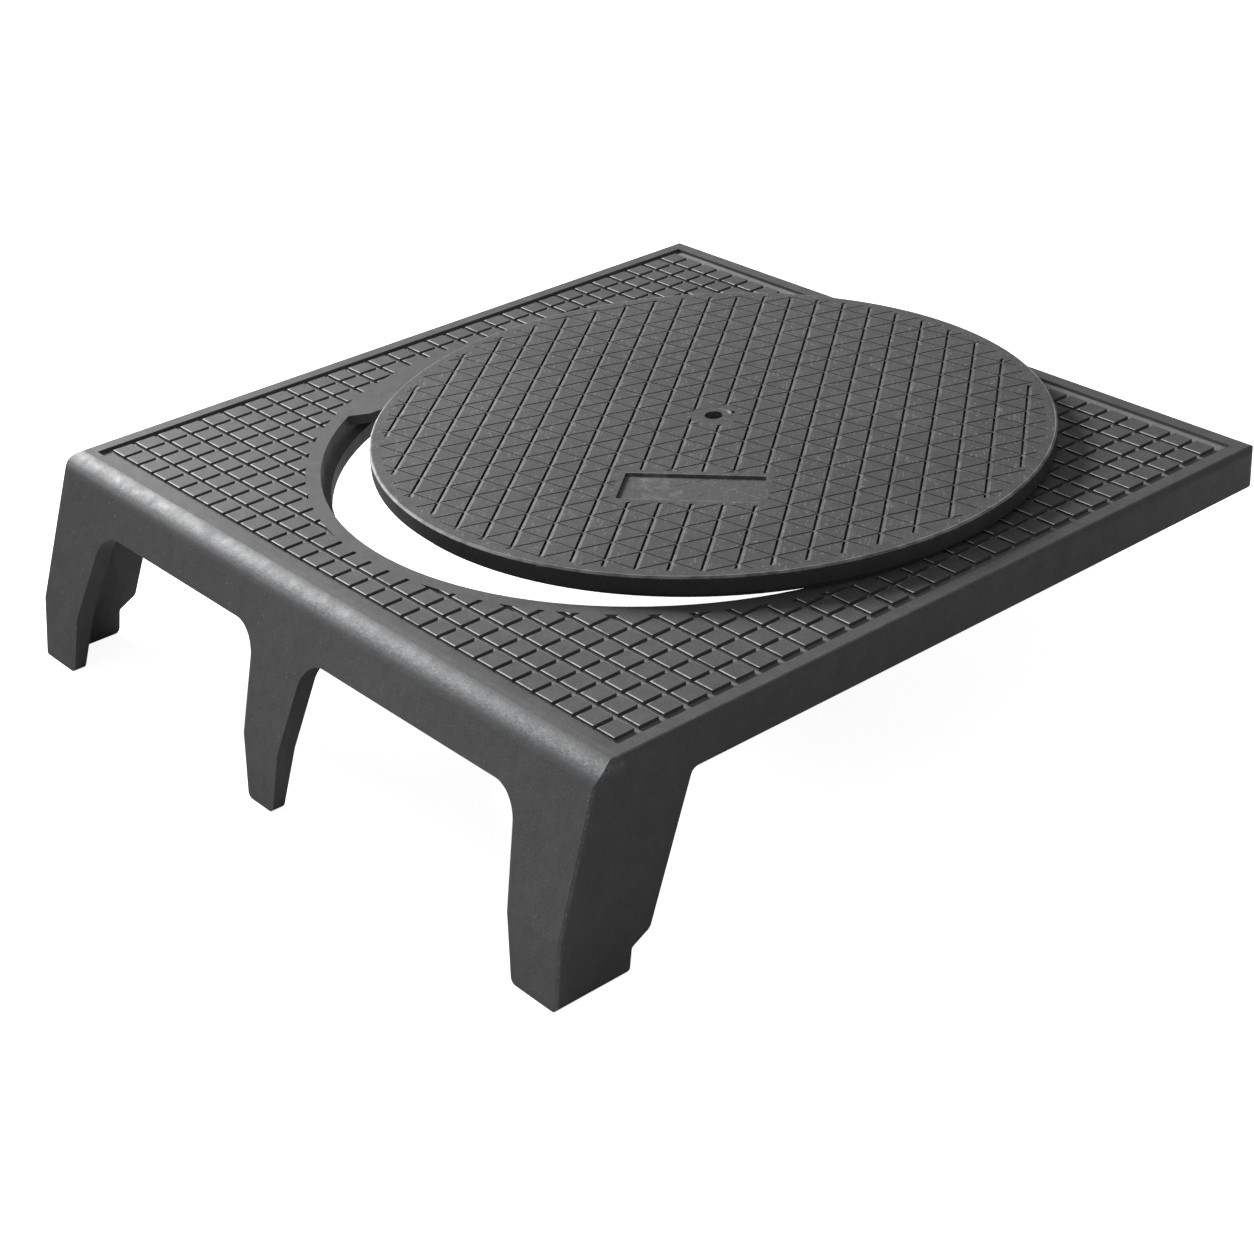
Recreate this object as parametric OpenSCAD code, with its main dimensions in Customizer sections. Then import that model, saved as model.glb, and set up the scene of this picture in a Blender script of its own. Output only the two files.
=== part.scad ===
/* [Frame] */
// Width of the frame along the kerb
frame_w = 750; // [660:1:900]
// Depth of the frame, from the toes of its legs to its back edge
frame_d = 782; // [740:1:950]
// Height from the soles of the legs to the top of the plate
frame_h = 182; // [150:1:240]
// Thickness of the top plate
deck_t = 12; // [9:0.5:18]
// Height of the side and back skirts, measured down from the top of the plate
skirt_h = 36; // [32:1:46]
// Thickness of the side and back skirts
skirt_t = 14; // [10:0.5:20]
// Radius of the back corners in plan
corner_r = 12; // [4:1:30]

/* [Front face] */
// Height of the apron between the legs, measured down from the top of the plate
apron_h = 45; // [38:1:60]
// Radius of the rounded nosing along the top of the front face
nose_r = 24; // [8:1:28]
// How far the toes stand in front of the upper edge of the battered face
face_batter = 54; // [30:1:80]
// How far the toes stand in front of the knee, where the batter changes
toe_out = 8; // [0:1:20]
// Height of the knee above the ground
knee_h = 55; // [35:1:80]
// Thickness of the front face and its legs from the knee upwards
leg_t = 17; // [15:0.5:30]
// Thickness of the legs at their soles
foot_t = 11; // [10:0.5:24]
// Radius between the legs and the apron
leg_fillet = 30; // [15:1:45]
// Radius of the lower corners of the feet
foot_r = 6; // [2:0.5:8]
// Radius of the rounded edges along the sides and back of the plate
edge_r = 6; // [3:0.5:8]
// Radius of the rounded front corners
corner_edge_r = 3; // [1:0.5:6]

/* [Corner legs] */
// Width of a corner leg's front face where it leaves the apron
corner_leg_top = 80; // [50:1:100]
// Width of a corner leg's front face at the knee
corner_leg_knee = 61; // [40:1:80]
// Width of a corner leg's front face at the sole
corner_leg_foot = 53; // [35:1:70]
// Thickness of the side plate that runs back from a corner leg
side_plate_t = 15; // [10:0.5:22]
// Width of the side plate at the underside of the skirt
side_plate_top = 92; // [70:1:120]
// Width of the side plate just above its heel notch
side_plate_low = 82; // [70:1:110]
// Width of the side plate at the sole
side_plate_foot = 68; // [40:1:68]
// Height of the heel notch above the ground
heel_h = 31; // [20:1:32]
// Fall of the heel notch towards the front
heel_fall = 9; // [1:0.5:10]
// Radius of the rounded stretches along the back of the side plate
heel_r = 8; // [3:0.5:9]

/* [Middle leg] */
// Width of the middle leg where it leaves the apron
mid_leg_top = 76; // [40:1:100]
// Width of the middle leg at the knee
mid_leg_knee = 50; // [30:1:70]
// Width of the middle leg at the sole
mid_leg_foot = 36; // [24:1:60]
// Place of the middle leg along the kerb, from the middle of the frame
mid_leg_x = -13; // [-40:1:40]

/* [Opening] */
// Diameter of the round opening at the top of the plate
opening_d = 606; // [560:1:640]
// Distance from the back edge of the frame to the middle of the opening
opening_back = 342; // [336:1:380]
// Depth of the collar round the opening, from the top of the plate
collar_h = 31; // [26:1:50]
// Thickness of the collar
collar_t = 14; // [10:0.5:20]
// Width of the sloping seat inside the opening
seat_w = 7; // [4:0.5:14]
// Fall of the seat over its width
seat_fall = 4; // [1:0.5:8]
// Radius between the opening's wall and its seat
seat_r = 5; // [2:0.5:7]
// Distance from the middle of the opening to the flat of the rim lug
lug_x = 246; // [230:1:270]
// Distance from the middle of the opening forwards to the start of the lug's flat
lug_from = 146; // [120:1:150]
// Distance from the middle of the opening backwards to the end of the lug's flat
lug_to = 34; // [-60:1:80]
// Thickness of the rim lug
lug_t = 9; // [5:0.5:12]

/* [Frame tread] */
// Width of the plain raised rim along the sides and back
rim_w = 17; // [12:0.5:24]
// Width of the plain band from the toes to the front edge of the tread
front_band = 76; // [70:1:100]
// Height of the square studs above the sunk field
stud_h = 3; // [2:0.5:6]
// Side of a square stud
stud_w = 18.8; // [12:0.1:20]
// Pitch of the studs along the kerb
stud_pitch = 23.5; // [22:0.1:32]
// Pitch of the rows of studs from front to back
stud_row_pitch = 23.1; // [22:0.1:32]
// Least plain margin between the studs and the edges of the sunk field
stud_margin = 6; // [2:0.5:12]
// Width of the plain band round the opening
ring_w = 13; // [8:1:20]

/* [Cover] */
// Overall thickness of the cover
cover_t = 20; // [16:0.5:30]
// Height of the cover's edge band
band_h = 15; // [10:0.5:15]
// Radial clearance between the cover and the opening when it is closed
cover_gap = 4; // [2:0.5:6]
// How far the lower lip is set in under the edge band
lip_in = 5; // [2:0.5:8]
// Bevel along the cover's top edge
edge_bevel = 1.5; // [0.5:0.1:3]
// How far the cover is pushed to the right of the opening
cover_push_x = 24; // [0:1:50]
// How far the cover is pushed back from the opening
cover_push_y = 32; // [0:1:50]
// Turn of the cover on the plate, in degrees
cover_turn = 39.75; // [0:0.25:90]

/* [Cover tread] */
// Width of the plain margin inside the cover's edge
margin_w = 10; // [6:1:20]
// Side of one triangle of the tread
tri_side = 30.3; // [26:0.1:40]
// Place of the tread's pattern, from the middle of the cover to the middle of a main groove
tread_shift = 9.7; // [0:0.1:13]
// Whole width of a main groove: its slot and its sloping right side
main_groove_w = 4.6; // [3:0.1:6]
// Width of the deep slot along the left of a main groove
slot_w = 1.8; // [1:0.1:2.5]
// Depth of the deep slot
slot_d = 2.4; // [1.5:0.1:4]
// Length of the bars that break the slots where the fine grooves cross
slot_bar = 3; // [1:0.5:6]
// Depth of the bars, and of the sloping side where it meets the slot
bar_d = 0.8; // [0.4:0.1:1.2]
// Width of the fine crossing grooves
fine_groove_w = 1.6; // [1:0.1:3]
// Depth of the fine crossing grooves
fine_groove_d = 0.5; // [0.3:0.1:1]

/* [Key place and panel] */
// Diameter of the key hole
key_d = 16.5; // [12:0.5:18]
// Distance of the key hole to the right of the cover's middle
key_x = 1.1; // [-6:0.1:6]
// Distance of the key hole behind the cover's middle
key_y = 5.4; // [-6:0.1:10]
// Radius of the plain boss round the key place
boss_r = 22; // [20:1:36]
// Radius of the curved key pocket, from the middle of the hole to its own middle line
key_pocket_r = 14.75; // [13:0.25:16]
// Width of the curved key pocket
key_pocket_w = 3.5; // [2:0.5:4]
// Depth of the curved key pocket
key_pocket_d = 2.5; // [1:0.1:5]
// Angle at which the curved key pocket starts
key_pocket_from = 25; // [0:1:40]
// Angle at which the curved key pocket ends
key_pocket_to = 88; // [60:1:90]
// Radius of the round pit at the start of the key pocket
key_pit_r = 3; // [2:0.5:4]
// Depth of the round pit
key_pit_d = 4; // [3:0.5:8]
// Length of the blank sunk panel
panel_l = 119; // [80:1:150]
// Width of the blank sunk panel
panel_w = 49; // [30:1:70]
// Depth of the panel
panel_d = 2.5; // [1:0.1:4]
// Width of the plain border round the panel
panel_border = 6; // [3:0.5:12]
// Distance from the middle of the cover to the middle of the panel
panel_out = 140; // [130:1:180]
// Distance from the middle of the cover to the left end of the panel
panel_left = 55.3; // [50:0.1:90]

/* [Underside] */
// Thickness of the cover's plate between its ribs
cover_skin = 9; // [7:0.5:12]
// Width of the solid ring inside the cover's edge
cover_ring_w = 22; // [14:1:40]
// Width of the ribs under the cover
cover_rib_w = 10; // [6:0.5:16]
// Radius of the ring rib under the cover
cover_rib_r = 150; // [100:1:200]
// Extra radius of the solid boss under the key place
key_wall = 16; // [8:1:30]
// Thickness of the ribs under the plate
deck_rib_t = 10; // [6:0.5:16]

/* [Hidden] */
$fn = 120;
over = 1;
end_inset = 0.2;
trace = 0.004;
y_back = frame_d / 2;
y_toe = -frame_d / 2;
y_knee = y_toe + toe_out;
y_face = y_toe + face_batter;
y_field = y_toe + front_band;
z_skirt = frame_h - skirt_h;
z_apron = frame_h - apron_h;
z_deck = frame_h - deck_t;
opening_r = opening_d / 2;
opening_y = y_back - opening_back;
ring_r = opening_r + ring_w;
throat_r = opening_r - seat_w;
collar_r = opening_r + collar_t;
z_seat = frame_h - band_h;
toe = [y_toe, 0];
knee = [y_knee, knee_h];
top = [y_face, frame_h];
back = [y_back, frame_h];
field_w = frame_w - 2 * rim_w;
field_d = y_back - rim_w - y_field;
stud_cols = floor((field_w - 2 * stud_margin - stud_w) / stud_pitch) + 1;
stud_rows = floor((field_d - 2 * stud_margin - stud_w) / stud_row_pitch) + 1;
cover_r = opening_r - cover_gap;
lip_r = cover_r - lip_in;
tread_r = cover_r - margin_w;
row_pitch = tri_side * sin(60);
groove_rows = floor(tread_r / row_pitch);
key_boss = [2, 6];
panel_x = panel_l / 2 - panel_left;
key_boss_under_r = boss_r + key_wall;

function unit(v) = v / norm(v);

// The sliver between a corner and the circle that rounds it: a and b point from corner p along its two edges.
// The circle stands a trace towards the corner, so that it crosses both edges
module corner_piece(p, a, b, r) {
    mid = unit(unit(a) + unit(b));
    half = acos(unit(a) * mid);
    reach = r / tan(half);
    out = r / sin(half);
    translate(p) difference() {
        polygon([unit(a) * reach, -mid * over, unit(b) * reach, mid * out]);
        translate(mid * (out - r * trace)) circle(r);
    }
}

// Extrudes an outline drawn as depth and height along the kerb
module along_kerb(length) {
    rotate([90, 0, 90]) linear_extrude(length, center = true) children();
}

// Extrudes an outline drawn as width and height from front to back
module front_to_back(y_from, y_to) {
    translate([0, y_to, 0]) rotate([90, 0, 0]) linear_extrude(y_to - y_from) children();
}

// Section of the front face: rounded nosing, batter down to the knee, then a steeper toe
module face_section() {
    apron = knee + (top - knee) * (z_apron - knee_h) / (frame_h - knee_h);
    difference() {
        polygon([top, knee, toe, toe + [foot_t, 0], knee + [leg_t, 0], apron + [leg_t, 0],
                 top + [leg_t + nose_r, 0]]);
        corner_piece(top, [1, 0], knee - top, nose_r);
    }
}

// The sliver that rounds the right-hand edge between two of its points, given as depth and height
module edge_sliver(from, to, r) {
    run = to - from;
    translate([frame_w / 2, from[0], from[1]]) rotate([-atan2(run[0], run[1]), 0, 0])
        translate([0, 0, -over]) linear_extrude(norm(run) + 2 * over) corner_piece([0, 0], [-1, 0], [0, 1], r);
}

// All that rounds the outer edges: under the feet, up the front corners, along the sides and the back
module edge_slivers() {
    for (side = [0, 1]) mirror([side, 0, 0]) {
        edge_sliver(toe + [side_plate_foot, 0], toe, foot_r);
        edge_sliver(toe, knee, corner_edge_r);
        edge_sliver(knee, top, corner_edge_r);
        edge_sliver(top, back, edge_r);
    }
    translate([0, y_back, frame_h]) along_kerb(frame_w + 2 * over)
        corner_piece([0, 0], [-1, 0], [0, -1], edge_r);
}

// Half outline of a leg seen from the front, from its middle or outer line to its inner edge
module leg_outline(side, x_line, w_top, w_knee, w_foot) {
    p_top = [x_line + side * w_top, z_apron];
    p_knee = [x_line + side * w_knee, knee_h];
    p_foot = [x_line + side * w_foot, 0];
    difference() {
        polygon([[x_line, 0], p_foot, p_knee, p_top, p_top + [0, over], [x_line, z_apron + over]]);
        corner_piece(p_foot, p_knee - p_foot, [-side, 0], foot_r);
    }
    corner_piece(p_top, [side, 0], p_knee - p_top, leg_fillet);
}

// The apron and the three legs seen from the front
module front_outline() {
    translate([-frame_w / 2, z_apron]) square([frame_w, apron_h + over]);
    for (side = [-1, 1]) {
        leg_outline(side, mid_leg_x - side * over, mid_leg_top / 2 + over, mid_leg_knee / 2 + over,
                    mid_leg_foot / 2 + over);
        leg_outline(-side, side * frame_w / 2, corner_leg_top, corner_leg_knee, corner_leg_foot);
    }
}

// Side view of the plate that stiffens a corner leg: slanting back edge, rounded heel notch and foot
module side_outline() {
    back_top = [y_toe + face_batter - toe_out + side_plate_top, z_skirt];
    back_low = [y_knee + side_plate_low, heel_h];
    notch = [y_toe + side_plate_foot + toe_out / 2, heel_h - heel_fall];
    foot = [y_toe + side_plate_foot, 0];
    front_top = knee + (top - knee) * (z_skirt + over - knee_h) / (frame_h - knee_h);
    difference() {
        polygon([toe + [foot_t / 2, 0], foot, notch, back_low, back_top, back_top + [0, over],
                 front_top + [leg_t / 2, 0], knee + [leg_t / 2, 0]]);
        corner_piece(foot, notch - foot, [-1, 0], foot_r);
        corner_piece(back_low, back_top - back_low, notch - back_low, heel_r);
    }
    corner_piece(notch, foot - notch, back_low - notch, heel_r / 2);
    corner_piece(back_top, back_low - back_top, [1, 0], heel_r);
}

// Plan of the plate from a line in the front face, with rounded back corners and an optional inset
module plan(inset = 0, y_front = y_face) {
    x = frame_w / 2 - inset;
    y = y_back - inset;
    r = max(corner_r - inset, 2);
    difference() {
        translate([-x, y_front]) square([2 * x, y - y_front]);
        corner_piece([-x, y], [1, 0], [0, -1], r);
        corner_piece([x, y], [-1, 0], [0, -1], r);
    }
}

// The square studs of the plate, set out from the middle of the sunk field
module studs() {
    x_first = -(stud_cols - 1) * stud_pitch / 2;
    y_first = y_field + field_d / 2 - (stud_rows - 1) * stud_row_pitch / 2;
    for (i = [0 : stud_cols - 1], j = [0 : stud_rows - 1]) {
        x = x_first + i * stud_pitch;
        y = y_first + j * stud_row_pitch;
        far = norm([abs(x) + stud_w / 2, abs(y - opening_y) + stud_w / 2]);
        if (far > ring_r) translate([x, y]) square(stud_w, center = true);
    }
}

// The sunk field between the studs, the rim and the plain band round the opening
module tread_sunk() {
    difference() {
        translate([-field_w / 2, y_field]) square([field_w, field_d]);
        translate([0, opening_y]) circle(ring_r);
        studs();
    }
}

// Section of the opening, seen as radius and height: wall, hollow fillet, sloping seat and throat
module opening_section() {
    seat_out = [opening_r, z_seat];
    seat_in = [throat_r, z_seat - seat_fall];
    difference() {
        polygon([[0, frame_h + over], [opening_r, frame_h + over], seat_out, seat_in,
                 [throat_r, z_skirt - over], [0, z_skirt - over]]);
        corner_piece(seat_out, [0, 1], seat_in - seat_out, seat_r);
    }
}

// Ribs under the plate, from the collar to the skirts and to the corners
module deck_ribs() {
    rib_h = collar_h - deck_t + over;
    translate([0, 0, frame_h - collar_h]) linear_extrude(rib_h) intersection() {
        plan(skirt_t / 2);
        translate([0, opening_y]) for (turn = [0, 45, 90, 135])
            rotate(turn) square([2 * frame_d, deck_rib_t], center = true);
    }
}

// The flat lug that stands into the opening at the left, with a slanting front end
module rim_lug() {
    slant = [sin(30), cos(30)] * (opening_r - lug_x);
    x_far = -opening_r - ring_w;
    translate([0, opening_y, frame_h - lug_t]) linear_extrude(lug_t) intersection() {
        circle(opening_r + ring_w / 2);
        polygon([[-lug_x, -lug_from], [-lug_x, lug_to], [x_far, lug_to], [x_far, -lug_from - slant[1]],
                 [-lug_x, -lug_from] - slant]);
    }
}

module frame() {
    color([0.24, 0.25, 0.26]) union() {
        difference() {
            union() {
                intersection() {
                    along_kerb(frame_w) face_section();
                    front_to_back(y_toe - over, y_field) front_outline();
                }
                for (side = [-1, 1]) translate([side * (frame_w - side_plate_t) / 2, 0, 0])
                    along_kerb(side_plate_t) side_outline();
                translate([0, 0, z_deck]) linear_extrude(deck_t) plan(y_front = y_face + nose_r);
                translate([0, 0, z_skirt]) linear_extrude(skirt_h - deck_t + over) difference() {
                    plan();
                    translate([-frame_w / 2 + skirt_t, y_toe])
                        square([frame_w - 2 * skirt_t, y_back - y_toe - skirt_t]);
                }
                translate([0, opening_y, frame_h - collar_h]) cylinder(r = collar_r, h = collar_h - over);
                deck_ribs();
            }
            translate([0, opening_y, 0]) rotate_extrude() opening_section();
            translate([0, 0, frame_h - stud_h]) linear_extrude(stud_h + over) tread_sunk();
            edge_slivers();
        }
        rim_lug();
    }
}

// Section of the cover, seen as radius and height: lip, edge band and bevelled top edge
module cover_section() {
    z_lip = cover_t - band_h;
    polygon([[0, 0], [lip_r, 0], [lip_r, z_lip], [cover_r, z_lip], [cover_r, cover_t - edge_bevel],
             [cover_r - edge_bevel, cover_t], [0, cover_t]]);
}

// The places on the cover's face that carry no tread: the key boss and the panel with its border
module plain_places() {
    translate(key_boss) circle(boss_r);
    translate([panel_x, -panel_out])
        square([panel_l + 2 * panel_border, panel_w + 2 * panel_border], center = true);
}

// The fine grooves: parallel straight lines at the tread's row pitch, at 60 degrees both ways
module fine_grooves() {
    intersection() {
        difference() {
            circle(tread_r);
            plain_places();
        }
        translate([tread_shift, 0]) for (turn = [-60, 60], i = [-groove_rows : groove_rows])
            rotate(turn) translate([i * row_pitch, 0])
                square([fine_groove_w, 2 * cover_r], center = true);
    }
}

// The sloping sides of the main grooves, with the bars' depth at the left
module main_slopes() {
    slope = (main_groove_w - slot_w) / bar_d;
    for (i = [-groove_rows - 1 : groove_rows]) {
        x = tread_shift + i * row_pitch;
        x_edge = abs(x) + main_groove_w;
        if (x_edge < tread_r) translate([x - main_groove_w / 2, 0, cover_t]) rotate([90, 0, 0])
            linear_extrude(2 * sqrt(pow(tread_r, 2) - pow(x_edge, 2)), center = true)
                polygon([[0, over], [0, -bar_d], [slot_w, -bar_d], [main_groove_w, 0],
                         [main_groove_w + slope * over, over]]);
    }
}

// The deep slots along the left of the main grooves, broken where the fine grooves cross
module slots() {
    for (i = [-groove_rows - 1 : groove_rows]) {
        x = tread_shift + i * row_pitch - (main_groove_w - slot_w) / 2;
        x_edge = abs(x) + main_groove_w;
        if (x_edge < tread_r) {
            y_end = sqrt(pow(tread_r, 2) - pow(x_edge, 2)) - slot_bar;
            for (m = [-groove_rows : groove_rows]) {
                y_mid = tri_side * (m + (1 + abs(i) % 2) / 2);
                y_low = max(y_mid - (tri_side - slot_bar) / 2, -y_end);
                y_high = min(y_mid + (tri_side - slot_bar) / 2, y_end);
                if (y_high - y_low > slot_bar) translate([x - slot_w / 2, y_low])
                    square([slot_w, y_high - y_low]);
            }
        }
    }
}

// The curved pocket beside the key hole that gives the key its grip
module key_pocket() {
    from = key_pocket_from;
    to = key_pocket_to;
    far = 2 * key_pocket_r;
    outer_r = key_pocket_r + key_pocket_w / 2;
    inner_r = key_pocket_r - key_pocket_w / 2;
    intersection() {
        difference() {
            circle(outer_r);
            circle(inner_r);
        }
        polygon([[0, 0], far * [cos(from), sin(from)], far * [1, 1], far * [cos(to), sin(to)]]);
    }
    rotate(to) translate([key_pocket_r, 0]) circle(key_pocket_w / 2 - end_inset);
}

// The pockets between the ribs under the cover
module cover_pockets() {
    pocket_r = lip_r - cover_ring_w;
    difference() {
        circle(pocket_r);
        circle(key_boss_under_r);
        difference() {
            circle(cover_rib_r + cover_rib_w / 2);
            circle(cover_rib_r - cover_rib_w / 2);
        }
        for (turn = [0 : 30 : 150]) rotate(turn) square([2 * cover_r, cover_rib_w], center = true);
    }
}

module cover() {
    color([0.30, 0.31, 0.32])
    translate([cover_push_x, opening_y + cover_push_y, frame_h]) rotate(cover_turn) difference() {
        rotate_extrude() cover_section();
        difference() {
            main_slopes();
            translate([0, 0, cover_t - slot_d]) linear_extrude(slot_d + 2 * over) plain_places();
        }
        translate([0, 0, cover_t - slot_d]) linear_extrude(slot_d + over) difference() {
            slots();
            plain_places();
        }
        translate([0, 0, cover_t - fine_groove_d]) linear_extrude(fine_groove_d + over) fine_grooves();
        translate([0, 0, -over]) linear_extrude(cover_t - cover_skin + over) cover_pockets();
        translate([key_x, key_y, 0]) {
            translate([0, 0, -over]) cylinder(d = key_d, h = cover_t + 2 * over);
            translate([0, 0, cover_t - key_pocket_d]) linear_extrude(key_pocket_d + over) key_pocket();
            rotate(key_pocket_from) translate([key_pocket_r + key_pocket_w / 2, 0, cover_t - key_pit_d])
                cylinder(r = key_pit_r, h = key_pit_d + over);
        }
        translate([panel_x, -panel_out, cover_t - panel_d]) linear_extrude(panel_d + over)
            square([panel_l, panel_w], center = true);
    }
}

frame();
cover();
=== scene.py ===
import math

import bmesh
import bpy
from mathutils import Matrix, Vector


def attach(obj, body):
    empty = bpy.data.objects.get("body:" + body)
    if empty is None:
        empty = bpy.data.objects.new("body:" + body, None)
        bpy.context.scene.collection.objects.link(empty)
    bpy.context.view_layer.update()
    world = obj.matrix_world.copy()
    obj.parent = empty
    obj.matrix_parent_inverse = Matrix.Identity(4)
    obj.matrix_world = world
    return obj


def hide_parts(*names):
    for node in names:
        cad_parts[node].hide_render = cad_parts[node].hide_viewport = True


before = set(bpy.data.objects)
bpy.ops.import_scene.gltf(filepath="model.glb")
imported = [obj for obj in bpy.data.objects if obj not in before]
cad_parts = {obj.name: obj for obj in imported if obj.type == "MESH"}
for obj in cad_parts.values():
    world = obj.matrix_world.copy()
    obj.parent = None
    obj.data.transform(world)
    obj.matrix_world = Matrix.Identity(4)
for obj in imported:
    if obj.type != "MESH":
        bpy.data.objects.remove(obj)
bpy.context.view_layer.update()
scene = bpy.context.scene
scene.view_settings.view_transform = "Standard"


# Camera
# Stands in front of the right-hand end of the frame and looks down on it along the plate's diagonal,
# through a long lens that is tipped a little to one side, as in the photograph.
def stand_camera(place, yaw, pitch, roll, focal_px, picture_px, shift_x):
    """Forward is the +Y axis turned left by yaw and tipped down by pitch; roll turns the picture about it."""
    forward = Vector((-math.sin(yaw) * math.cos(pitch), math.cos(yaw) * math.cos(pitch), -math.sin(pitch)))
    level = Vector((math.cos(yaw), math.sin(yaw), 0.0))
    down = forward.cross(level)
    right = level * math.cos(roll) - down * math.sin(roll)
    down = level * math.sin(roll) + down * math.cos(roll)
    lens = bpy.data.cameras.new("studio_camera")
    lens.sensor_width = 36.0
    lens.lens = focal_px / picture_px * lens.sensor_width
    lens.shift_x = shift_x
    camera = bpy.data.objects.new("studio_camera", lens)
    camera.matrix_world = Matrix(((right.x, -down.x, -forward.x, place[0]),
                                  (right.y, -down.y, -forward.y, place[1]),
                                  (right.z, -down.z, -forward.z, place[2]),
                                  (0.0, 0.0, 0.0, 1.0)))
    scene.collection.objects.link(camera)
    scene.camera = camera


stand_camera(place=(1.5318, -1.2174, 1.0889), yaw=math.radians(50.74), pitch=math.radians(28.78),
             roll=math.radians(-3.19), focal_px=2485.0, picture_px=1254.0, shift_x=-0.03)


# Frame casting
# One grey-iron sand casting, dipped in black bitumen paint that stays semi-matt over its rough skin.
# The paint is rubbed to a mottled bluish grey along the rounded nosing, and worn through along the
# front edges of the studs, which also carry a painted highlight.
class Nodes:
    """Adds shader nodes to one material and joins them. Values go in as numbers, colours or sockets."""

    def __init__(self, name):
        self.material = bpy.data.materials.new(name)
        self.material.use_nodes = True
        self.tree = self.material.node_tree
        self.tree.nodes.clear()

    def add(self, kind, inputs=(), **settings):
        node = self.tree.nodes.new(kind)
        for key, value in settings.items():
            setattr(node, key, value)
        for key, value in dict(inputs).items():
            if isinstance(value, bpy.types.NodeSocket):
                self.tree.links.new(value, node.inputs[key])
            else:
                node.inputs[key].default_value = value
        return node

    def math(self, operation, *values):
        return self.add("ShaderNodeMath", dict(enumerate(values)), operation=operation).outputs[0]

    def span(self, value, low, high, to_low=0.0, to_high=1.0):
        """A smooth step from to_low to to_high while the value goes from low to high."""
        return self.add("ShaderNodeMapRange", {"Value": value, "From Min": low, "From Max": high,
                                               "To Min": to_low, "To Max": to_high},
                        interpolation_type="SMOOTHSTEP").outputs["Result"]

    def noise(self, at, scale, detail=2.0, roughness=0.5):
        return self.add("ShaderNodeTexNoise", {"Vector": at, "Scale": scale, "Detail": detail,
                                               "Roughness": roughness}).outputs[0]

    def stretched(self, at, scale, turn=0.0):
        return self.add("ShaderNodeMapping", {"Vector": at, "Scale": scale,
                                              "Rotation": (0.0, 0.0, turn)}).outputs[0]

    def split(self, vector):
        return self.add("ShaderNodeSeparateXYZ", {0: vector}).outputs

    def mix(self, share, first, second):
        return self.add("ShaderNodeMix", {0: share, 6: first, 7: second}, data_type="RGBA").outputs[2]

    def all_of(self, *masks):
        product = masks[0]
        for mask in masks[1:]:
            product = self.math("MULTIPLY", product, mask)
        return product

    def below(self, value, limit, soft):
        """1 up to the limit, falling to 0 over the soft width past it."""
        return self.span(value, limit, limit + soft, 1.0, 0.0)

    def above(self, value, limit, soft):
        """0 until the soft width before the limit, rising to 1 at it."""
        return self.span(value, limit - soft, limit)

    def band(self, value, low, high, soft):
        """1 between low and high, falling to 0 over the soft width outside them."""
        return self.all_of(self.above(value, low, soft), self.below(value, high, soft))

    def away(self, value, place=0.0):
        """How far the value is from the place, on either side of it."""
        return self.math("ABSOLUTE", self.math("SUBTRACT", value, place))

    def lighter(self, base, share):
        return self.math("MULTIPLY", base, self.math("ADD", 1.0, share))

    def darker(self, base, share):
        return self.math("MULTIPLY", base, self.math("SUBTRACT", 1.0, share))

    def finish(self, colour, roughness, height, depth):
        bump = self.add("ShaderNodeBump", {"Strength": 1.0, "Distance": depth, "Height": height})
        shader = self.add("ShaderNodeBsdfPrincipled", {"Base Color": colour, "Roughness": roughness,
                                                       "Normal": bump.outputs[0]})
        self.add("ShaderNodeOutputMaterial", {"Surface": shader.outputs["BSDF"]})
        return self.material


def cast_tone(n, at, tone):
    """The paint's tone with broad clouds, hand-sized mottling and the fine grain of the sand skin."""
    clouds = n.span(n.noise(at, 6.0, 3.0), 0.3, 0.7, 0.93, 1.07)
    mottle = n.span(n.noise(at, 60.0, 4.0, 0.6), 0.3, 0.7, 0.92, 1.08)
    streaky = n.stretched(at, scale=(420.0, 900.0, 700.0), turn=0.7)
    grain = n.span(n.noise(streaky, 1.0, 3.0, 0.7), 0.3, 0.7, 0.84, 1.16)
    return n.all_of(tone, clouds, mottle, grain)


def grey(n, tone, tint=(1.0, 1.0, 1.0)):
    parts = (n.math("MULTIPLY", tone, part) for part in tint)
    return n.add("ShaderNodeCombineColor", dict(enumerate(parts))).outputs[0]


def skin_height(n, at):
    """Relief of the cast skin: sand grain over a slow waviness."""
    grain = n.noise(at, 900.0, 3.0, 0.6)
    wave = n.math("MULTIPLY", n.noise(at, 70.0, 2.0), 2.5)
    return n.math("ADD", grain, wave)


def run_plate_to_nosing(node, name, line, gap, underside):
    """A copy of a casting in which the plate runs on to the back of the nosing, at the line.

    The solid's plate stops short of it by the gap. The plate's front wall and the floor of the gap are taken
    out, and the plate's front edge moves up to the line.
    """
    casting = bpy.data.objects.new(name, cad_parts[node].data.copy())
    scene.collection.objects.link(casting)
    skin = bmesh.new()
    skin.from_mesh(casting.data)
    slack = 0.00002
    level = [v for v in skin.verts if v.co.z > underside - slack]
    plate_edge = {v for v in level if abs(v.co.y - line - gap) < slack}
    both_edges = {v for v in level if abs(v.co.y - line) < slack} | plate_edge
    gap_skin = [f for f in skin.faces
                if f.normal.y < 0.5 and abs(f.normal.x) < 0.5 and both_edges.issuperset(f.verts)]
    bmesh.ops.delete(skin, geom=gap_skin, context="FACES")
    for v in plate_edge:
        if v.is_valid:
            v.co.y = line
    skin.to_mesh(casting.data)
    skin.free()
    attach(casting, "root")
    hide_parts(node)
    return casting


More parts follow.
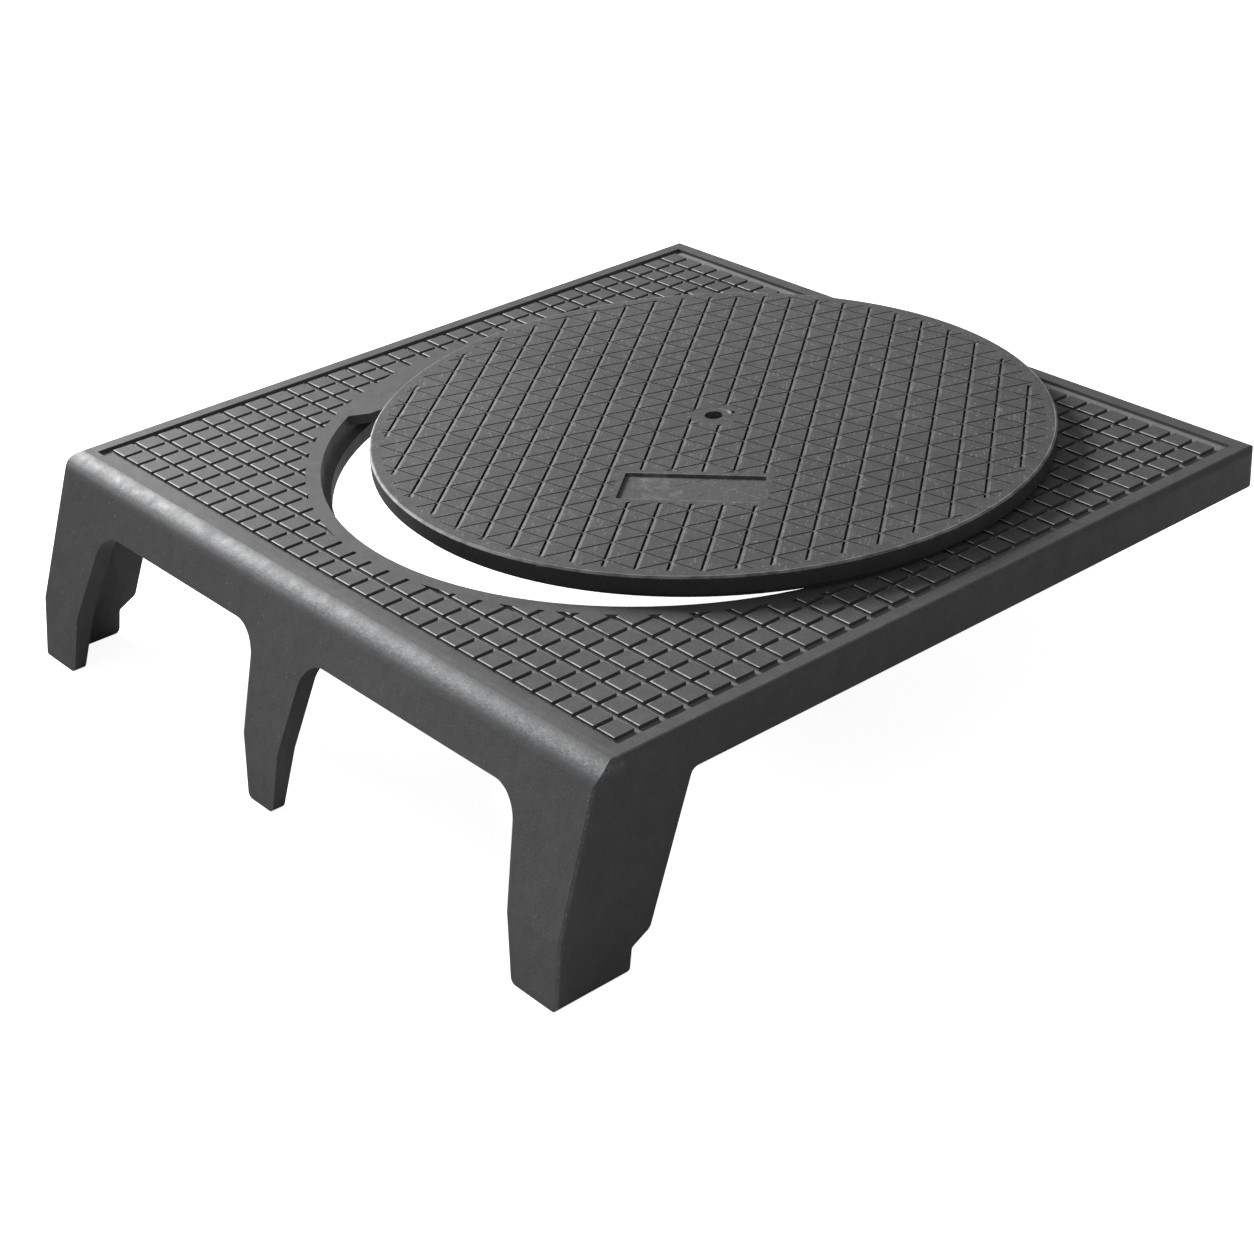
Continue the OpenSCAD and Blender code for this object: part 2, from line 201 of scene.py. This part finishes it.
def frame_paint(tone, plate_top, field_front, field_back, stud, stud_height, pitch, first_stud,
                ring_y, ring_r):
    """first_stud is the front left corner of the stud at the front left; ring_r bounds the plain ring."""
    shaded = (0.012, 0.012, 0.012, 1.0)
    bare_and_lit_edge = (0.7, 0.705, 0.71, 1.0)
    rubbed_paint = (0.3, 0.305, 0.31, 1.0)
    n = Nodes("frame_paint")
    at = n.add("ShaderNodeTexCoord").outputs["Object"]
    x, y, z = n.split(at)
    facing = n.split(n.add("ShaderNodeNewGeometry").outputs["Normal"])
    sideways = n.math("ABSOLUTE", facing[0])
    upward = n.span(facing[2], 0.9, 0.98)
    sunk = n.math("SUBTRACT", plate_top, z)
    fine = n.noise(n.stretched(at, scale=(260.0, 520.0, 520.0), turn=0.5), 1.0, 5.0, 0.75)
    blotches = n.noise(at, 45.0, 4.0, 0.65)
    chips = n.noise(at, 70.0, 3.0, 0.7)
    base = cast_tone(n, at, tone)

    # Nosing: a mottled bluish band with ragged edges high on its curve, and painted light on the strip behind
    # it, growing towards the right
    front = n.span(y, field_front - 0.001, field_front, 1.0, 0.0)
    ragged = n.math("ADD", sunk, n.math("MULTIPLY", n.math("SUBTRACT", fine, 0.5), 0.009))
    rubbed = n.all_of(front, n.span(ragged, -0.0002, 0.0042), n.span(ragged, 0.0052, 0.0112, 1.0, 0.0),
                      n.span(n.math("ADD", fine, blotches), 0.75, 1.2, 0.4, 1.0),
                      n.span(facing[1], -0.9, -0.8))
    # Painted light: the strip behind the nosing is made lighter towards the right
    flat = n.all_of(front, n.span(ragged, 0.003, 0.009, 1.0, 0.0), n.span(x, -0.45, 0.1, 0.0, 0.14))
    base = n.lighter(base, flat)

    # Left end: painted shade makes the front face and the nosing darker there
    left_end_shade = n.all_of(n.span(facing[1], -0.85, -0.75, 1.0, 0.0), n.span(x, -0.45, 0.3, 0.5, -0.02))
    base = n.darker(base, left_end_shade)
    base = n.darker(base, n.all_of(front, n.span(x, -0.45, 0.05, 0.2, 0.0)))
    # Painted shade: the rubbed band's tone is also darker towards the left end
    bared_with_left_shade = n.math("MULTIPLY", n.span(fine, 0.4, 0.6, 0.11, 0.33), n.span(x, -0.375, 0.1, 0.34, 0.82))
    bluish = grey(n, bared_with_left_shade, tint=(0.86, 1.0, 1.1))
    colour = n.mix(rubbed, grey(n, base), bluish)

    # Field: painted light between the studs and at their feet, and painted shade in a dark line under each
    # stud's front edge
    in_field = n.all_of(n.above(y, field_front + 0.0005, 0.0005), n.below(y, field_back - 0.0005, 0.0005),
                        n.below(n.away(x), -first_stud[0] - 0.0005, 0.0075))
    between = n.all_of(in_field, n.above(sunk, stud_height - 0.0003, 0.0005), upward,
                       n.above(y, first_stud[1], 0.001))
    stud_front = n.all_of(in_field, n.span(facing[1], -0.9, -0.7, 1.0, 0.0))
    foot = n.span(sunk, 0.0012, 0.0018)
    painted_floor_light = grey(n, n.math("MULTIPLY", base, 3.0))
    # Painted light on the floor between the studs and at the foot of each front face, painted shade above it
    colour = n.mix(n.math("MULTIPLY", between, 0.6), colour, painted_floor_light)
    colour = n.mix(stud_front, colour, n.mix(foot, shaded, painted_floor_light))

    # Studs: a light line along the front edge, and a short one up the left edge: worn paint with a painted
    # highlight
    along = n.math("WRAP", n.math("SUBTRACT", x, first_stud[0]), 0.0, pitch[0])
    inward = n.math("WRAP", n.math("SUBTRACT", y, first_stud[1]), 0.0, pitch[1])
    from_opening = n.add("ShaderNodeVectorMath", {0: at, 1: (0.0, ring_y, plate_top)},
                         operation="DISTANCE").outputs["Value"]
    stud_top = n.all_of(in_field, n.span(sunk, 0.0002, 0.0006, 1.0, 0.0), upward,
                        n.below(along, stud - 0.0004, 0.0004), n.above(from_opening, ring_r + 0.0005, 0.0005))
    front_edge = n.all_of(n.below(inward, 0.001, 0.0006), n.span(chips, 0.3, 0.55, 0.3, 1.0))
    left_edge = n.all_of(n.below(along, 0.0004, 0.0006), n.below(inward, 0.0, 0.008),
                         n.span(chips, 0.4, 0.6, 0.2, 0.9))
    # Worn paint plus painted highlight on the stud edges
    wear_and_highlight = n.all_of(stud_top, n.math("MAXIMUM", front_edge, left_edge))
    colour = n.mix(wear_and_highlight, colour, bare_and_lit_edge)

    # Front corners of the legs: paint rubbed off in specks, with stray specks over the front faces
    corner = n.all_of(n.span(sideways, 0.25, 0.5), n.span(sideways, 0.7, 0.9, 1.0, 0.0),
                      n.span(facing[1], -0.5, -0.3, 1.0, 0.0), n.span(fine, 0.5, 0.62, 0.1, 0.7))
    specks = n.all_of(n.span(facing[1], -0.9, -0.8, 1.0, 0.0),
                      n.span(n.noise(at, 420.0, 1.0), 0.72, 0.78, 0.0, 0.6))
    colour = n.mix(n.math("MAXIMUM", corner, specks), colour, rubbed_paint)
    roughness = n.span(blotches, 0.3, 0.7, 0.5, 0.62)
    return n.finish(colour, roughness, skin_height(n, at), depth=0.00012)


def dress(piece, material):
    piece.data.materials.clear()
    piece.data.materials.append(material)


casting = run_plate_to_nosing("frame", "frame_casting", line=-0.315, gap=0.002, underside=0.17)
dress(casting, frame_paint(tone=0.105, plate_top=0.182, field_front=-0.315, field_back=0.374,
                           stud=0.0188, stud_height=0.003, pitch=(0.0235, 0.0231),
                           first_stud=(-0.35015, -0.3033), ring_y=0.049, ring_r=0.316))


# Cover casting
# One round grey-iron sand casting with the same bitumen paint, lying loose on the plate. Its tread of
# slots and fine grooves is cast with it, its slots are darkened with painted shade, and its top edge is
# worn bright in places.
def cover_paint(tone, middle, turn, tread_r, band_r, rim_r, line_pitch, line_shift,
                panel, panel_half, key, pocket_r):
    """Places are in the cover's own frame: from its middle, turned by turn, with up measured from its top."""
    scuffed_paint = (0.36, 0.365, 0.37, 1.0)
    n = Nodes("cover_paint")
    at = n.add("ShaderNodeTexCoord").outputs["Object"]
    facing = n.split(n.add("ShaderNodeNewGeometry").outputs["Normal"])
    own = n.add("ShaderNodeMapping", {"Vector": at, "Location": middle, "Rotation": (0.0, 0.0, turn)},
                vector_type="TEXTURE").outputs[0]
    right, back, up = n.split(own)

    def reach(place=(0.0, 0.0)):
        """Distance from the place, seen from above."""
        parts = [n.math("POWER", n.away(value, start), 2.0) for value, start in zip((right, back), place)]
        return n.math("SQRT", n.math("ADD", *parts))

    out = reach()
    from_key = reach(key)
    upper = n.span(up, -0.0035, -0.003)
    tread = n.all_of(upper, n.below(out, tread_r, 0.001))
    rub = n.noise(at, 60.0, 3.0, 0.6)
    base = cast_tone(n, at, tone)

    # Sloping sides of the main grooves: uneven, mostly a little darker than the light on them would make them
    slope = n.all_of(upper, n.band(facing[2], 0.93, 0.985, 0.005), n.span(rub, 0.3, 0.7, -0.35, 0.1))
    base = n.lighter(base, slope)

    # Fine grooves: painted shade along one way and a painted highlight along the other way, wavering and
    # uneven along their length
    waver = n.math("MULTIPLY", n.math("SUBTRACT", n.noise(at, 120.0, 2.0), 0.5), 0.0016)
    groove_shade_and_highlight = 1.0
    for angle, change, turned in ((-60.0, -0.55, 3.1), (60.0, 0.6, 7.7)):
        turn_by = math.radians(angle)
        across = n.math("ADD", n.math("MULTIPLY", n.math("SUBTRACT", right, line_shift), math.cos(turn_by)),
                        n.math("MULTIPLY", back, math.sin(turn_by)))
        nearest = n.math("WRAP", n.math("ADD", across, waver), -line_pitch / 2, line_pitch / 2)
        uneven = n.noise(n.stretched(at, scale=(1.0, 1.0, 1.0), turn=turned), 45.0, 4.0, 0.65)
        line = n.all_of(n.below(n.away(nearest), 0.0003, 0.0007), tread, n.span(uneven, 0.42, 0.62))
        groove_shade_and_highlight = n.math("ADD", groove_shade_and_highlight, n.math("MULTIPLY", line, change))
    base = n.math("MULTIPLY", base, groove_shade_and_highlight)

    # Panel floor: smoother and lighter, with a pale smear at its left end
    off_right = n.away(right, panel[0])
    off_back = n.away(back, panel[1])
    inside = n.all_of(n.below(off_right, panel_half[0], 0.0005), n.below(off_back, panel_half[1], 0.0005),
                      upper)
    smear = n.all_of(n.band(right, panel[0] - 0.04, panel[0] - 0.015, 0.012), n.span(rub, 0.45, 0.65))
    base = n.lighter(base, n.all_of(inside, n.math("ADD", 0.12, n.math("MULTIPLY", smear, 0.6))))

    # Key pocket: painted light makes its curved floor bright
    pocket_light = n.all_of(n.band(from_key, pocket_r - 0.003, pocket_r + 0.003, 0.0005),
                      n.band(up, -0.0028, -0.0003, 0.0001))
    base = n.lighter(base, n.math("MULTIPLY", pocket_light, 6.0))

    # Slots: painted shade darkens them deep down, and the small bars across them stay clear of it
    slot_shade = n.all_of(tread, n.span(up, -0.0013, -0.0009, 1.0, 0.0), n.math("SUBTRACT", 1.0, inside),
                    n.above(from_key, pocket_r + 0.004, 0.0005), 0.85)
    base = n.darker(base, slot_shade)

    # Panel's lips: the paint is thin along its back and front edges
    lips = n.all_of(upper, n.below(n.away(off_back, panel_half[1] + 0.0006), 0.0004, 0.0004),
                    n.span(rub, 0.35, 0.6, 0.3, 1.0), n.below(off_right, panel_half[0], 0.002))
    base = n.lighter(base, lips)

    # Edge band: it stands in the dark of the gap, and painted shade makes it darker than the top
    edge_band_shade = n.all_of(n.below(n.away(facing[2]), 0.3, 0.2), n.above(out, band_r, 0.005))
    base = n.darker(base, n.math("MULTIPLY", edge_band_shade, 0.45))

    # Specks and scratches through the paint, and the rubbed top edge
    specks = n.all_of(upper, n.span(n.noise(at, 300.0, 2.0, 0.6), 0.63, 0.72, 0.0, 0.6))
    scratch = n.noise(n.stretched(own, scale=(500.0, 60.0, 200.0), turn=0.5), 1.0, 2.0)
    scratches = n.all_of(upper, n.span(scratch, 0.6, 0.68, 0.0, 0.4), n.span(rub, 0.46, 0.58))
    rim = n.all_of(n.above(out, rim_r, 0.001), n.above(up, -0.0012, 0.001), n.span(rub, 0.35, 0.6, 0.3, 0.95))
    bright = n.math("MAXIMUM", n.math("MAXIMUM", specks, scratches), rim)
    colour = n.mix(bright, grey(n, base), scuffed_paint)
    return n.finish(colour, 0.55, skin_height(n, at), depth=0.00012)


dress(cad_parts["cover"],
      cover_paint(tone=0.1, middle=(0.024, 0.081, 0.202), turn=math.radians(39.75),
                  tread_r=0.288, band_r=0.295, rim_r=0.2972, line_pitch=0.0262406, line_shift=0.0097,
                  panel=(0.0042, -0.14), panel_half=(0.0595, 0.0245), key=(0.0011, 0.0054), pocket_r=0.01475))


# Floor and light
# A white studio floor that runs on past the picture. The light comes from one large soft lamp low on
# the left, and a dim sky fills the shadows.
def lay_floor(half, bounce, glow, shade):
    """bounce is its tone for the light that it throws back; the camera sees shade on top of the glow."""
    mesh = bpy.data.meshes.new("studio_floor")
    mesh.from_pydata([(-half, -half, 0.0), (half, -half, 0.0), (half, half, 0.0), (-half, half, 0.0)], [],
                     [(0, 1, 2, 3)])
    floor = bpy.data.objects.new("studio_floor", mesh)
    scene.collection.objects.link(floor)
    n = Nodes("studio_white")
    seen = n.add("ShaderNodeLightPath").outputs["Is Camera Ray"]
    matt = n.add("ShaderNodeBsdfDiffuse", {"Color": grey(n, n.span(seen, 0.0, 1.0, bounce, shade))})
    light = n.add("ShaderNodeEmission", {"Color": (1.0, 1.0, 1.0, 1.0),
                                         "Strength": n.math("MULTIPLY", seen, glow)})
    both = n.add("ShaderNodeAddShader", {0: matt.outputs[0], 1: light.outputs[0]})
    n.add("ShaderNodeOutputMaterial", {"Surface": both.outputs[0]})
    mesh.materials.append(n.material)


def hang_lamp(name, place, aim, size, power):
    lamp = bpy.data.lights.new(name, "AREA")
    lamp.shape = "DISK"
    lamp.size = size
    lamp.energy = power
    hung = bpy.data.objects.new(name, lamp)
    hung.location = place
    hung.rotation_euler = (Vector(aim) - Vector(place)).to_track_quat("-Z", "Y").to_euler()
    scene.collection.objects.link(hung)


def light_sky(strength):
    """A sky of the given strength that looks white in the picture."""
    sky = bpy.data.worlds.new("studio_sky")
    scene.world = sky
    sky.use_nodes = True
    nodes, links = sky.node_tree.nodes, sky.node_tree.links
    nodes.clear()
    path = nodes.new("ShaderNodeLightPath")
    level = nodes.new("ShaderNodeMapRange")
    level.inputs["To Min"].default_value = strength
    level.inputs["To Max"].default_value = 1.0
    back = nodes.new("ShaderNodeBackground")
    back.inputs["Color"].default_value = (1.0, 1.0, 1.0, 1.0)
    end = nodes.new("ShaderNodeOutputWorld")
    links.new(path.outputs["Is Camera Ray"], level.inputs["Value"])
    links.new(level.outputs[0], back.inputs["Strength"])
    links.new(back.outputs[0], end.inputs["Surface"])


lay_floor(half=20.0, bounce=0.62, glow=0.9, shade=1.0)
hang_lamp("left_lamp", place=(-4.2, -0.25, 2.25), aim=(0.0, 0.0, 0.15), size=1.8, power=345.0)
light_sky(strength=0.232)
